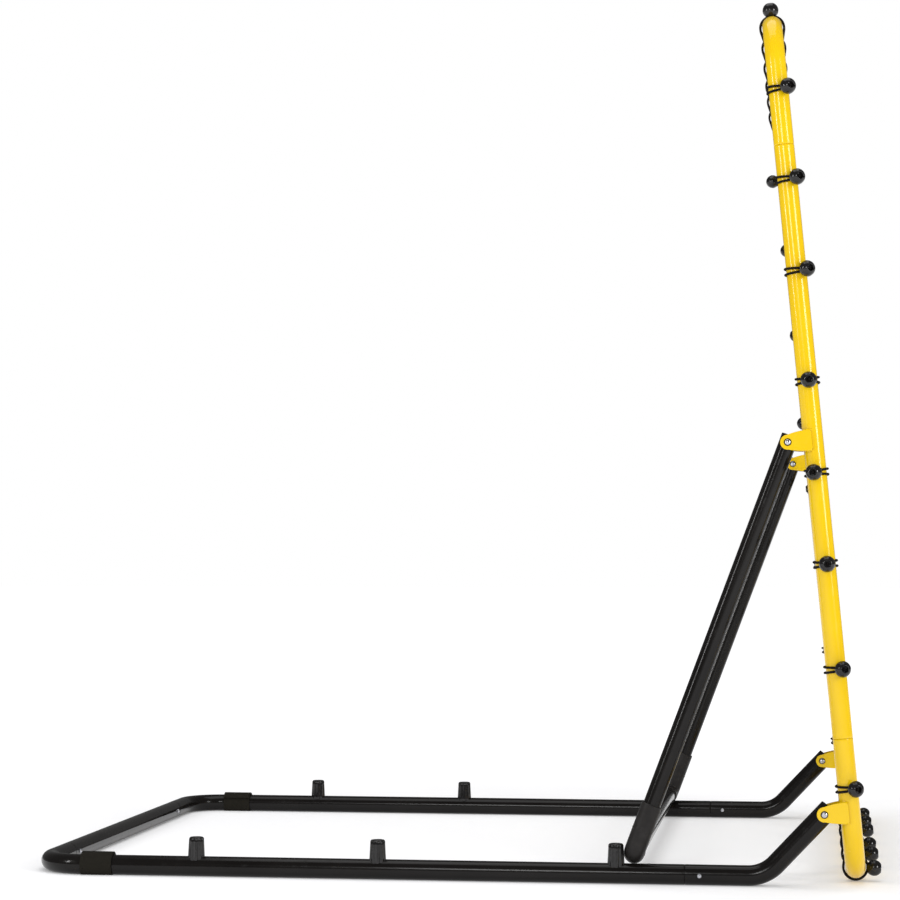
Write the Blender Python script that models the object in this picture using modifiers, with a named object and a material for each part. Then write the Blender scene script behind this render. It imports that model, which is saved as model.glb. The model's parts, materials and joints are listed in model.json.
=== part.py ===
"""Folding ball rebounder: a net sprung in a leaning tube frame, on a flat tube base, held up by a prop.

Metres, +Z up. The net faces +X, and -Y is the right side. The origin is on the floor, at the middle of
the object's length and width. The frame tilts on the base about front_pivot, and the prop swings on the
frame about prop_pivot; each pivot is an empty that its moving pieces are parented to.
"""

import math

import bmesh
import bpy
from mathutils import Matrix, Vector

# Overall sizes
WIDTH = 1.0  # between the axes of the two posts, which stand over the two rails
FRAME_HEIGHT = 1.381  # along the posts, outside to outside
BASE_LENGTH = 1.278  # from the base's rear edge to the front pivot
LEAN = math.radians(5.3)  # the frame leans back by this much
FLOOR_GAP = 0.006  # under the frame's lowest tube

# Tubes
TUBE_R = 0.015875
TUBE_WALL = 0.0015
TUBE_SIDES = 12
BEND_STEPS = 6
SPIGOT = 0.045  # how far a necked end reaches into its mate
SHOULDER = 0.0005
GAP = 0.0003  # between pieces that touch
FIT = 0.0004  # around a necked end in its mate

# Base
REAR_BEND_R = 0.07
REAR_JOINT_IN = 0.15  # from a rail's axis to its joint with the rear crossbar
REAR_BOLT_PAST = 0.022  # from that joint to its bolt
FRONT_JOINT_BACK = 0.218  # from the front pivot back to the joint in a rail
FRONT_BOLT_PAST = 0.024
FRONT_PIVOT_Z = 0.1137
RAMP = math.radians(46.5)  # how steeply a rail's front end rises to the pivot
RAMP_BEND_R = 0.06
END_PAST_PIVOT = 0.012  # a tube's square end beyond its pivot
STRAP_FROM = 0.0865  # from the base's rear edge
STRAP_WIDTH = 0.052
STRAP_THICK = 0.0024

# Stop pegs on the rails
PEG_HEIGHT = 0.031  # above the rail
PEG_TOP_R = 0.012
PEG_BASE_R = 0.014
PEG_EDGE = 0.002
PEG_SKIRT = 0.006  # how far the saddle reaches down the rail's sides
REAR_PEGS = (0.276, 0.572)  # from the base's rear edge
FRONT_PEG_BACK = 0.3255  # from the front pivot

# Net frame
FRAME_BEND_R = 0.07
PIVOT_REACH = 0.0398  # from a post's axis back to the line through both pivots
PROP_PIVOT_UP = 0.5815  # along the post from the front pivot
LOWER_LEG = 0.2265  # lower tube: from the frame's bottom to the joint in a post
UPPER_LEG = 0.2205  # upper tube: from the frame's top to the joint in a post
EAR_THICK = 0.003
EAR_CLEAR = 0.00035  # between an ear and the tube beside it
EAR_HALF = 0.0165  # half an ear's height at the post
EAR_END_R = 0.0118

# Bolts
PIVOT_BOLT_R = 0.003
PIVOT_HEAD_R = 0.0048
JOINT_BOLT_R = 0.0022
JOINT_HEAD_R = 0.0036
HEAD_HEIGHT = 0.0032

# Prop
PROP_R = 0.014
ELBOW_R = 0.0165
ELBOW_BEND_R = 0.0185
ELBOW_UP = 0.084  # from the crossbar's axis up the leg
ELBOW_IN = 0.046  # from the leg's axis along the crossbar
ELBOW_STOP = 0.004  # from the elbow's bend to the tube's end inside it
FOOT_DROP = 0.0029  # the elbow's bend rests on the rail, so inside the rail its underside is this much lower
FOOT_BACK = 0.0037  # and it leans over the front peg's base by this much

# Net and its cords
HEM_INSET = 0.06  # from a tube's axis in to the hem's axis
HEM_R = 0.0035
HEM_BEND_R = 0.012
HEM_SIDES = 6
NET_THICK = 0.0016
NOTCH_LONG = 0.012
NOTCH_DEEP = 0.009
BALL_R = 0.0127
BALL_SEGMENTS = 10
BALL_RINGS = 6
CORD_R = 0.002
CORD_SIDES = 4
ANCHOR_R = 0.003  # the turn of the cord inside a ball
POST_CORD_LOW = 0.148  # from the frame's bottom to the lowest cord on a post
POST_CORD_HIGH = 0.131  # from the frame's top to the highest one
TUBE_CORD_END = 0.08  # from a post's axis to the first cord on the upper or lower tube

# How far each cord sits off even spacing, lowest or rightmost first, and how far its ball is turned
# from straight outward towards the front
RIGHT_OFFSETS = (0.0, 0.0285, 0.0355, 0.022, 0.009, 0.0255, 0.0135, 0.0)
RIGHT_TURNS = (25, 20, 5.5, -9, 5, 34, 30, 29)
LEFT_OFFSETS = (0.0, 0.02, 0.03, 0.022, -0.005, 0.0125, 0.025, 0.006)
LEFT_TURNS = (-10, -9, -10, -14, -24, -17, -21, -58)
UPPER_OFFSETS = (0.0, -0.004, 0.003, 0.006, -0.003, 0.0)
UPPER_TURNS = (0, 6, -5, 4, 8, -4)
LOWER_OFFSETS = (0.0, 0.008, -0.003, 0.012, 0.006, -0.006)
LOWER_TURNS = (80, 82, 78, 84, 80, 76)

LOOKS = {  # colour, roughness, metallic
    "yellow_paint": ((0.92, 0.62, 0.01), 0.25, 0.0),
    "black_paint": ((0.012, 0.011, 0.011), 0.22, 0.0),
    "satin_plastic": ((0.025, 0.023, 0.023), 0.5, 0.0),
    "gloss_plastic": ((0.012, 0.011, 0.011), 0.25, 0.0),
    "webbing": ((0.014, 0.013, 0.013), 0.85, 0.0),
    "zinc": ((0.62, 0.62, 0.64), 0.3, 1.0),
    "net_cord": ((0.016, 0.015, 0.015), 0.8, 0.0),
}

COLLECTION = "ball_rebounder"


def corner_radius(flat_radius, sides=TUBE_SIDES):
    """The distance to the corners of a section that is flat_radius to its flats."""
    return flat_radius / math.cos(math.pi / sides)


# Places worked out from the sizes
REAR_AXIS_X = TUBE_R
RAIL_TOP = 2 * TUBE_R
FRAME_LOW = (FLOOR_GAP + TUBE_R - FRONT_PIVOT_Z - PIVOT_REACH * math.sin(LEAN)) / math.cos(LEAN) - TUBE_R
FRAME_TOP = FRAME_LOW + FRAME_HEIGHT
BALL_REACH = corner_radius(TUBE_R) + BALL_R + GAP
FRONT_EDGE = (
    BASE_LENGTH
    + PIVOT_REACH * math.cos(LEAN)
    - (FRAME_LOW + TUBE_R) * math.sin(LEAN)
    + BALL_REACH
    + BALL_R
)
ORIGIN_X = (FRONT_EDGE - GAP - HEAD_HEIGHT) / 2  # the rear joint bolts stick out behind
HALF = WIDTH / 2
FRONT_PIVOT = Vector((BASE_LENGTH - ORIGIN_X, 0, FRONT_PIVOT_Z))
PROP_PIVOT = FRONT_PIVOT + PROP_PIVOT_UP * Vector((-math.sin(LEAN), 0, math.cos(LEAN)))
FOOT = Vector(
    (
        BASE_LENGTH - FRONT_PEG_BACK + PEG_BASE_R - FOOT_BACK + corner_radius(ELBOW_R) - ORIGIN_X,
        0,
        RAIL_TOP - FOOT_DROP + corner_radius(ELBOW_R),
    )
)
PROP_LENGTH = (PROP_PIVOT - FOOT).length
PROP_SWING = math.atan2(PROP_PIVOT.x - FOOT.x, PROP_PIVOT.z - FOOT.z)


def start_scene():
    for obj in list(bpy.data.objects):
        bpy.data.objects.remove(obj)
    for name in (COLLECTION, "cutters"):
        group = bpy.data.collections.new(name)
        bpy.context.scene.collection.children.link(group)
    bpy.data.collections["cutters"].hide_render = True


def add_pivot(name, place, turn, parent=None):
    pivot = bpy.data.objects.new(name, None)
    pivot.empty_display_size = 0.05
    pivot.location = place
    pivot.rotation_euler = (0, turn, 0)
    pivot.parent = parent
    bpy.data.collections[COLLECTION].objects.link(pivot)
    return pivot


def give_look(obj, look):
    colour, roughness, metallic = LOOKS[look]
    material = bpy.data.materials.new(obj.name)
    material.use_nodes = True
    shader = material.node_tree.nodes["Principled BSDF"]
    shader.inputs["Base Color"].default_value = (*colour, 1)
    shader.inputs["Roughness"].default_value = roughness
    shader.inputs["Metallic"].default_value = metallic
    obj.data.materials.clear()
    obj.data.materials.append(material)


def finish(obj, look, parent=None):
    """A finished piece: in the parts collection, on its pivot, with its own material, shaded smooth."""
    obj.parent = parent
    if obj.name not in bpy.data.collections[COLLECTION].objects:
        bpy.data.collections[COLLECTION].objects.link(obj)
    obj.data.shade_smooth()
    obj.data.set_sharp_from_angle(angle=math.radians(35))
    give_look(obj, look)
    return obj


def as_cutter(obj, parent=None):
    obj.parent = parent
    obj.hide_render = True
    obj.display_type = "WIRE"
    bpy.data.collections["cutters"].objects.link(obj)
    return obj


def boolean(obj, other, operation):
    step = obj.modifiers.new(operation.lower(), "BOOLEAN")
    step.operation = operation
    step.object = other
    step.solver = "EXACT"


def object_from(name, work):
    mesh = bpy.data.meshes.new(name)
    bmesh.ops.recalc_face_normals(work, faces=work.faces)
    work.to_mesh(mesh)
    work.free()
    return bpy.data.objects.new(name, mesh)


def mesh_from_curve(curve_object):
    """The curve with its modifiers as a mesh object of the same name, with its caps welded on."""
    name, place = curve_object.name, curve_object.matrix_basis.copy()
    bpy.context.scene.collection.objects.link(curve_object)
    graph = bpy.context.evaluated_depsgraph_get()
    mesh = bpy.data.meshes.new_from_object(curve_object.evaluated_get(graph))
    work = bmesh.new()
    work.from_mesh(mesh)
    bmesh.ops.remove_doubles(work, verts=work.verts, dist=1e-5)
    bmesh.ops.recalc_face_normals(work, faces=work.faces)
    work.to_mesh(mesh)
    work.free()
    bpy.data.objects.remove(curve_object)
    solid = bpy.data.objects.new(name, mesh)
    solid.matrix_basis = place
    return solid


def bent_path(corners, bend_r, steps=BEND_STEPS):
    """The line through the corners, with each inner corner rounded to bend_r."""
    path = [corners[0]]
    for before, corner, after in zip(corners, corners[1:], corners[2:]):
        back = (before - corner).normalized()
        ahead = (after - corner).normalized()
        half_angle = back.angle(ahead) / 2
        centre = corner + (back + ahead).normalized() * bend_r / math.sin(half_angle)
        spoke = corner + back * bend_r / math.tan(half_angle) - centre
        turn_axis = back.cross(ahead)
        for i in range(steps + 1):
            turn = Matrix.Rotation(-(math.pi - 2 * half_angle) * i / steps, 3, turn_axis)
            path.append(centre + turn @ spoke)
    path.append(corners[-1])
    return path


def necked(path, at_start, at_end):
    """The path with a spigot added at each chosen end, and the size of the section at each point."""
    neck = (TUBE_R - TUBE_WALL - FIT) / TUBE_R
    sizes = [1.0] * len(path)
    if at_start:
        out = (path[0] - path[1]).normalized()
        path = [path[0] + out * SPIGOT, path[0] + out * SHOULDER, *path]
        sizes = [neck, neck, *sizes]
    if at_end:
        out = (path[-1] - path[-2]).normalized()
        path = [*path, path[-1] + out * SHOULDER, path[-1] + out * SPIGOT]
        sizes = [*sizes, neck, neck]
    return path, sizes


def pipe(name, path, radius, wall=0.0, sizes=None, sides=TUBE_SIDES, closed=False):
    """A tube along the path: radius to its flats, hollow and open-ended if it has a wall."""
    curve = bpy.data.curves.new(name, "CURVE")
    curve.dimensions = "3D"
    curve.twist_mode = "MINIMUM"
    curve.bevel_depth = corner_radius(radius, sides)
    curve.bevel_resolution = (sides - 4) // 2
    curve.use_fill_caps = not wall and not closed
    spline = curve.splines.new("POLY")
    spline.points.add(len(path) - 1)
    spline.use_cyclic_u = closed
    for i, place in enumerate(path):
        spline.points[i].co = (*place, 1)
        spline.points[i].tilt = math.pi / sides
        spline.points[i].radius = sizes[i] if sizes else 1.0
    obj = bpy.data.objects.new(name, curve)
    if wall:
        skin = obj.modifiers.new("wall", "SOLIDIFY")
        skin.thickness = wall
        skin.offset = -1
        skin.use_even_offset = True
    return mesh_from_curve(obj)


def turned(name, profile, steps=TUBE_SIDES):
    """A solid turned about its Z axis. The profile is (radius, height) pairs from top to bottom."""
    work = bmesh.new()
    points = [work.verts.new((radius, 0, height)) for radius, height in profile]
    for one, other in zip(points, points[1:]):
        work.edges.new((one, other))
    mesh = bpy.data.meshes.new(name)
    work.to_mesh(mesh)
    work.free()
    obj = bpy.data.objects.new(name, mesh)
    spin = obj.modifiers.new("spin", "SCREW")
    spin.steps = steps
    spin.render_steps = steps
    spin.use_merge_vertices = True
    spin.merge_threshold = 0.00001
    return obj


def outline(name, loops, thickness):
    """A flat plate in its own XY plane. The first loop is its edge, the others are holes."""
    curve = bpy.data.curves.new(name, "CURVE")
    curve.dimensions = "2D"
    curve.fill_mode = "BOTH"
    curve.extrude = thickness / 2
    for loop in loops:
        spline = curve.splines.new("POLY")
        spline.points.add(len(loop) - 1)
        spline.use_cyclic_u = True
        for point, (x, y) in zip(spline.points, loop):
            point.co = (x, y, 0, 1)
    return bpy.data.objects.new(name, curve)


def box(name, low, high):
    work = bmesh.new()
    bmesh.ops.create_cube(work, size=1)
    low, high = Vector(low), Vector(high)
    for vert in work.verts:
        vert.co = Vector((low[i] + (high[i] - low[i]) * (vert.co[i] + 0.5) for i in range(3)))
    return object_from(name, work)


def circle(centre_x, centre_y, radius, count):
    """Points around a circle, whose straight sides stay outside it."""
    reach = radius / math.cos(math.pi / count)
    return [
        (
            centre_x + reach * math.cos(2 * math.pi * (i + 0.5) / count),
            centre_y + reach * math.sin(2 * math.pi * (i + 0.5) / count),
        )
        for i in range(count)
    ]


def drill(obj, name, place, along, radius, length, parent=None):
    """Cuts a round hole right through the piece, along the axis "X" or "Y"."""
    work = bmesh.new()
    bmesh.ops.create_cone(
        work, cap_ends=True, segments=TUBE_SIDES, radius1=radius, radius2=radius, depth=length
    )
    cutter = object_from(name, work)
    cutter.location = place
    cutter.rotation_euler = (0, math.pi / 2, 0) if along == "X" else (math.pi / 2, 0, 0)
    boolean(obj, as_cutter(cutter, parent), "DIFFERENCE")


def bolt(name, place, along, clamped, shaft_r, head_r, parent=None):
    """A bolt through the clamped width, with a domed head on one side and a domed nut on the other."""
    face = clamped / 2 + GAP
    half = [
        (0, face + HEAD_HEIGHT),
        (head_r * 0.7, face + HEAD_HEIGHT * 0.7),
        (head_r, face + HEAD_HEIGHT * 0.2),
        (head_r, face),
        (shaft_r, face),
    ]
    obj = turned(name, half + [(r, -z) for r, z in reversed(half)], steps=10)
    obj.location = place
    obj.rotation_euler = (0, math.pi / 2, 0) if along == "X" else (math.pi / 2, 0, 0)
    return finish(obj, "zinc", parent)


def both_sides():
    """The right and the left side, each with the sign of its Y."""
    return ("right", -1), ("left", 1)


# ---- base ----


def build_rail(side, sign):
    """From the rear crossbar's joint around the rear corner to the joint behind the front bend."""
    y = sign * HALF
    rear = Vector((REAR_AXIS_X - ORIGIN_X, sign * (HALF - REAR_JOINT_IN), TUBE_R))
    corner = Vector((REAR_AXIS_X - ORIGIN_X, y, TUBE_R))
    front = Vector((BASE_LENGTH - FRONT_JOINT_BACK - ORIGIN_X, y, TUBE_R))
    path, sizes = necked(bent_path([rear, corner, front], REAR_BEND_R), True, True)
    rail = finish(pipe(f"rail_{side}", path, TUBE_R, TUBE_WALL, sizes), "black_paint")
    drill_rear_joint(rail, side, sign)
    drill_front_joint(rail, side, sign)


def rear_bolt_place(sign):
    return (REAR_AXIS_X - ORIGIN_X, sign * (HALF - REAR_JOINT_IN - REAR_BOLT_PAST), TUBE_R)


def front_bolt_place(sign):
    return (BASE_LENGTH - FRONT_JOINT_BACK + FRONT_BOLT_PAST - ORIGIN_X, sign * HALF, TUBE_R)


def drill_rear_joint(obj, side, sign):
    name = f"rear_joint_hole_{side}_{obj.name}"
    drill(obj, name, rear_bolt_place(sign), "X", JOINT_BOLT_R + GAP, 4 * TUBE_R)


def drill_front_joint(obj, side, sign):
    name = f"front_joint_hole_{side}_{obj.name}"
    drill(obj, name, front_bolt_place(sign), "Y", JOINT_BOLT_R + GAP, 4 * TUBE_R)


def build_rear_crossbar():
    end = HALF - REAR_JOINT_IN - SHOULDER - GAP
    x = REAR_AXIS_X - ORIGIN_X
    path = [Vector((x, -end, TUBE_R)), Vector((x, end, TUBE_R))]
    bar = finish(pipe("rear_crossbar", path, TUBE_R, TUBE_WALL), "black_paint")
    for side, sign in both_sides():
        drill_rear_joint(bar, side, sign)


def build_rail_front(side, sign):
    """From the joint in the rail, up the ramp to the front pivot."""
    y = sign * HALF
    back = Vector((BASE_LENGTH - FRONT_JOINT_BACK + SHOULDER + GAP - ORIGIN_X, y, TUBE_R))
    rise = Vector((math.cos(RAMP), 0, math.sin(RAMP)))
    pivot = Vector((FRONT_PIVOT.x, y, FRONT_PIVOT.z))
    foot = pivot - rise * (FRONT_PIVOT_Z - TUBE_R) / math.sin(RAMP)
    path = bent_path([back, foot, pivot + rise * END_PAST_PIVOT], RAMP_BEND_R, 4)
    front = finish(pipe(f"rail_front_{side}", path, TUBE_R, TUBE_WALL), "black_paint")
    drill_front_joint(front, side, sign)
    drill(front, f"front_pivot_hole_{side}", pivot, "Y", PIVOT_BOLT_R + GAP, 4 * TUBE_R)


def build_strap(side, sign):
    """Webbing wrapped over the rail, pressed flat where the rail stands on it."""
    x = STRAP_FROM - ORIGIN_X
    y = sign * HALF
    path = [Vector((x, y, TUBE_R)), Vector((x + STRAP_WIDTH, y, TUBE_R))]
    strap = finish(pipe(f"strap_{side}", path, TUBE_R + GAP + STRAP_THICK, STRAP_THICK), "webbing")
    reach = 2 * TUBE_R
    low = (x - GAP, y - reach, -reach)
    high = (x + STRAP_WIDTH + GAP, y + reach, GAP)
    boolean(strap, as_cutter(box(f"floor_cut_{side}", low, high)), "DIFFERENCE")


def build_peg(name, x, sign):
    """A tapered stop standing astride the rail."""
    top = TUBE_R + PEG_HEIGHT
    profile = [
        (0, top),
        (PEG_TOP_R - PEG_EDGE, top),
        (PEG_TOP_R, top - PEG_EDGE),
        (PEG_BASE_R, TUBE_R - PEG_SKIRT),
        (0, TUBE_R - PEG_SKIRT),
    ]
    peg = turned(name, profile)
    peg.location = (x - ORIGIN_X, sign * HALF, TUBE_R)
    finish(peg, "gloss_plastic")
    reach = 2 * PEG_BASE_R
    start = Vector((x - ORIGIN_X - reach, sign * HALF, TUBE_R))
    saddle = pipe(f"saddle_{name}", [start, start + Vector((2 * reach, 0, 0))], TUBE_R + GAP)
    boolean(peg, as_cutter(saddle), "DIFFERENCE")


def build_base():
    build_rear_crossbar()
    pegs = (*REAR_PEGS, BASE_LENGTH - FRONT_PEG_BACK)
    for side, sign in both_sides():
        build_rail(side, sign)
        build_rail_front(side, sign)
        build_strap(side, sign)
        for place, x in zip(("rear", "middle", "front"), pegs):
            build_peg(f"stop_peg_{place}_{side}", x, sign)
        width = 2 * TUBE_R
        bolt(f"rear_joint_bolt_{side}", rear_bolt_place(sign), "X", width, JOINT_BOLT_R, JOINT_HEAD_R)
        bolt(f"front_joint_bolt_{side}", front_bolt_place(sign), "Y", width, JOINT_BOLT_R, JOINT_HEAD_R)


# ---- net frame, in front_pivot's axes: Z along the posts, X square to the net ----


def ear_loop():
    """An ear's edge: as high as EAR_HALF at the post, round about its pivot."""
    lean = math.asin((EAR_HALF - EAR_END_R) / PIVOT_REACH)
    start = math.pi / 2 + lean * 0.8
    turn = 2 * math.pi - 2 * start
    steps = 7
    end = [
        (-PIVOT_REACH + EAR_END_R * math.cos(a), EAR_END_R * math.sin(a))
        for a in (start + turn * i / steps for i in range(steps + 1))
    ]
    return [(0, -EAR_HALF), (0, EAR_HALF), *end]


def add_bracket(tube, place, up, y, pivot):
    """Welds two ears to the tube, one on each side of whatever turns on the pivot between them."""
    inner = TUBE_R + EAR_CLEAR
    hole = circle(-PIVOT_REACH, 0, PIVOT_BOLT_R + GAP, TUBE_SIDES)
    for edge in (-1, 1):
        name = f"{place}_ear_{'outer' if edge * y > 0 else 'inner'}_{tube.name}"
        ear = outline(name, [ear_loop(), hole], EAR_THICK)
        ear.rotation_euler = (math.pi / 2, 0, 0)
        ear.location = (PIVOT_REACH, y + edge * (inner + EAR_THICK / 2), up)
        boolean(tube, as_cutter(mesh_from_curve(ear), pivot), "UNION")
        depths = sorted((y + edge * (TUBE_R - TUBE_WALL / 2), y + edge * (inner + EAR_THICK / 2)))
        half = EAR_HALF - 0.003
        low = (PIVOT_REACH - 0.004, depths[0], up - half)
        high = (PIVOT_REACH - 0.001, depths[1], up + half)
        boolean(tube, as_cutter(box(f"weld_{name}", low, high), pivot), "UNION")


def build_u_tube(name, outer, leg, inward, pivot):
    """The upper or lower tube: across the frame, with a bend and a leg at each end."""
    axis = outer + inward * TUBE_R
    tip = outer + inward * (leg - SHOULDER - GAP)
    corners = [
        Vector((PIVOT_REACH, -HALF, tip)),
        Vector((PIVOT_REACH, -HALF, axis)),
        Vector((PIVOT_REACH, HALF, axis)),
        Vector((PIVOT_REACH, HALF, tip)),
    ]
    return finish(
        pipe(name, bent_path(corners, FRAME_BEND_R), TUBE_R, TUBE_WALL), "yellow_paint", pivot
    )


def build_frame(pivot):
    build_u_tube("upper_tube", FRAME_TOP, UPPER_LEG, -1, pivot)
    lower = build_u_tube("lower_tube", FRAME_LOW, LOWER_LEG, 1, pivot)
    ear_width = 2 * (TUBE_R + EAR_CLEAR + EAR_THICK)
    for side, sign in both_sides():
        y = sign * HALF
        path, sizes = necked(
            [
                Vector((PIVOT_REACH, y, FRAME_LOW + LOWER_LEG)),
                Vector((PIVOT_REACH, y, FRAME_TOP - UPPER_LEG)),
            ],
            True,
            True,
        )
        post = finish(pipe(f"post_{side}", path, TUBE_R, TUBE_WALL, sizes), "yellow_paint", pivot)
        add_bracket(lower, f"front_{side}", 0, y, pivot)
        add_bracket(post, "prop", PROP_PIVOT_UP, y, pivot)
        for place, up in (("front", 0), ("prop", PROP_PIVOT_UP)):
            name = f"{place}_pivot_bolt_{side}"
            bolt(name, (0, y, up), "Y", ear_width, PIVOT_BOLT_R, PIVOT_HEAD_R, pivot)


# ---- net and its ball cords ----


def cord_places(low, high, offsets):
    """Even spacing from low to high, each cord moved by its offset."""
    step = (high - low) / (len(offsets) - 1)
    return [low + step * i + offset for i, offset in enumerate(offsets)]


def all_cords():
    """Each cord as (name, point on the tube's axis, outward direction, turn in degrees)."""
    low, high = FRAME_LOW + POST_CORD_LOW, FRAME_TOP - POST_CORD_HIGH
    across = HALF - TUBE_CORD_END
    cords = []
    for side, sign, offsets, turns in (
        ("right", -1, RIGHT_OFFSETS, RIGHT_TURNS),
        ("left", 1, LEFT_OFFSETS, LEFT_TURNS),
    ):
        for i, (up, turn) in enumerate(zip(cord_places(low, high, offsets), turns), 1):
            place = Vector((PIVOT_REACH, sign * HALF, up))
            cords.append((f"ball_cord_{side}_{i}", place, Vector((0, sign, 0)), turn))
    for edge, outer, sign, offsets, turns in (
        ("upper", FRAME_TOP - TUBE_R, 1, UPPER_OFFSETS, UPPER_TURNS),
        ("lower", FRAME_LOW + TUBE_R, -1, LOWER_OFFSETS, LOWER_TURNS),
    ):
        for i, (y, turn) in enumerate(zip(cord_places(-across, across, offsets), turns), 1):
            place = Vector((PIVOT_REACH, y, outer))
            cords.append((f"ball_cord_{edge}_{i}", place, Vector((0, 0, sign)), turn))
    return cords


def stretched_band(points):
    """The convex outline of the points, in order: the path of a loop pulled tight around them."""
    points = sorted(points)

    def one_side(run):
        kept = []
        for x, y in run:
            while len(kept) > 1 and (
                (kept[-1][0] - kept[-2][0]) * (y - kept[-2][1])
                <= (kept[-1][1] - kept[-2][1]) * (x - kept[-2][0])
            ):
                kept.pop()
            kept.append((x, y))
        return kept[:-1]

    return one_side(points) + one_side(points[::-1])


def build_cord(name, place, outward, turn, pivot):
    """A ball outside the tube, with its cord looped round the tube and the net's hem."""
    front = Vector((1, 0, 0))
    turn = math.radians(turn)
    ball_out, ball_front = BALL_REACH * math.cos(turn), BALL_REACH * math.sin(turn)
    slack = GAP + CORD_R
    loop = stretched_band(
        circle(0, 0, corner_radius(TUBE_R) + slack, 12)
        + circle(-HEM_INSET, 0, corner_radius(HEM_R, HEM_SIDES) + slack, 8)
        + circle(ball_out, ball_front, ANCHOR_R, 4)
    )
    path = [outward * out + front * ahead for out, ahead in loop]
    band = pipe(f"band_{name}", path, CORD_R, sides=CORD_SIDES, closed=True)
    band.location = place
    work = bmesh.new()
    bmesh.ops.create_uvsphere(work, u_segments=BALL_SEGMENTS, v_segments=BALL_RINGS, radius=BALL_R)
    ball = object_from(name, work)
    for vert in ball.data.vertices:
        vert.co += outward * ball_out + front * ball_front
    ball.location = place
    boolean(ball, as_cutter(band, pivot), "UNION")
    finish(ball, "gloss_plastic", pivot)


def add_notch(work, place, outward):
    """The mesh that a cord passes through, just inside the hem."""
    inner = HEM_INSET + corner_radius(HEM_R, HEM_SIDES) + GAP
    along = Vector((0, abs(outward.z), abs(outward.y)))
    size = NOTCH_LONG * along + NOTCH_DEEP * Vector((0, abs(outward.y), abs(outward.z)))
    size.x = 4 * NET_THICK
    middle = place - outward * (inner + NOTCH_DEEP / 2)
    shape = Matrix.Translation(middle) @ Matrix.Diagonal((*size, 1))
    bmesh.ops.create_cube(work, size=1, matrix=shape)


def build_net(cords, pivot):
    """The net as a thin panel in a round hem, with an opening at each cord."""
    y = HALF - HEM_INSET
    low = FRAME_LOW + TUBE_R + HEM_INSET
    high = FRAME_TOP - TUBE_R - HEM_INSET
    corners = [Vector((0, *c)) for c in ((0, low), (y, low), (y, high), (-y, high), (-y, low), (0, low))]
    hem = bent_path(corners, HEM_BEND_R, 3)[1:]
    panel = outline("net", [[(point.y, point.z) for point in hem]], NET_THICK)
    panel.rotation_euler = (math.pi / 2, 0, math.pi / 2)
    panel.location = (PIVOT_REACH, 0, 0)
    net = mesh_from_curve(panel)
    work = bmesh.new()
    for _, place, outward, _ in cords:
        add_notch(work, place, outward)
    boolean(net, as_cutter(object_from("notches", work), pivot), "DIFFERENCE")
    ring = pipe("hem", hem, HEM_R, sides=HEM_SIDES, closed=True)
    ring.location = (PIVOT_REACH, 0, 0)
    boolean(net, as_cutter(ring, pivot), "UNION")
    finish(net, "net_cord", pivot)


# ---- prop, in prop_pivot's axes: Z up its legs ----


def build_prop(pivot):
    inside = ELBOW_BEND_R + ELBOW_STOP
    socket_wall = ELBOW_R - PROP_R - GAP
    for side, sign in both_sides():
        y = sign * HALF
        top = Vector((0, y, END_PAST_PIVOT))
        low = Vector((0, y, inside - PROP_LENGTH))
        leg = finish(pipe(f"prop_leg_{side}", [top, low], PROP_R, TUBE_WALL), "black_paint", pivot)
        hole = f"prop_pivot_hole_{side}"
        drill(leg, hole, (0, y, 0), "Y", PIVOT_BOLT_R + GAP, 4 * TUBE_R, pivot)
        corners = [
            Vector((0, y, ELBOW_UP - PROP_LENGTH)),
            Vector((0, y, -PROP_LENGTH)),
            Vector((0, y - sign * ELBOW_IN, -PROP_LENGTH)),
        ]
        path = bent_path(corners, ELBOW_BEND_R, 5)
        finish(pipe(f"prop_elbow_{side}", path, ELBOW_R, socket_wall), "satin_plastic", pivot)
    end = HALF - inside
    path = [Vector((0, -end, -PROP_LENGTH)), Vector((0, end, -PROP_LENGTH))]
    finish(pipe("prop_crossbar", path, PROP_R, TUBE_WALL), "black_paint", pivot)


def main():
    start_scene()
    build_base()
    frame_pivot = add_pivot("front_pivot", FRONT_PIVOT, -LEAN)
    build_frame(frame_pivot)
    cords = all_cords()
    build_net(cords, frame_pivot)
    for cord in cords:
        build_cord(*cord, frame_pivot)
    swing = PROP_SWING + LEAN
    build_prop(add_pivot("prop_pivot", (0, 0, PROP_PIVOT_UP), swing, frame_pivot))


main()
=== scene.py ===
"""Looks of the folding ball rebounder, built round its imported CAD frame.

Metres, +Z up, in the frame's own axes: the net faces +X, and -Y is the right side. The painted tubes,
the moulded pieces, the webbing, the net and its ball cords are modelled here at full detail, and each
rides on the CAD body that it belongs to.
"""

import json
import math

import bmesh
import bpy
from mathutils import Matrix, Vector


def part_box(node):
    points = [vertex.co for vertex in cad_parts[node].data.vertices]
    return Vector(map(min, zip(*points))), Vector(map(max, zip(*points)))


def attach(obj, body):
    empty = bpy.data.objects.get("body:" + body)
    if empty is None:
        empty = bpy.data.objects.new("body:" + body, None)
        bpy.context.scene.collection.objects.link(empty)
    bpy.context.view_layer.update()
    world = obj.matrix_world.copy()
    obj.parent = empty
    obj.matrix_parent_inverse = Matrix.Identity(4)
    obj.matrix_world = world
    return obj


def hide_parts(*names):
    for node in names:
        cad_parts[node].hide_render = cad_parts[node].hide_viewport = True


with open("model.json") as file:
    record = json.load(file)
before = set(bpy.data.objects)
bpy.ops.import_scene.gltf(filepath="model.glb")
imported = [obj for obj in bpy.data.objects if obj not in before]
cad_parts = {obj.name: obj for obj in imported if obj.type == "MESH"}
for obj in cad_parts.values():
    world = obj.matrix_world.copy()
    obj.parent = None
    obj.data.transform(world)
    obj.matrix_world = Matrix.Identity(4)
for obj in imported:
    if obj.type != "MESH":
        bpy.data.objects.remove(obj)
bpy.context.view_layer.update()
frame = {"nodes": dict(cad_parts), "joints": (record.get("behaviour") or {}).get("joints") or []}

# Tubes, as in the CAD
TUBE_R = 0.015875
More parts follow.
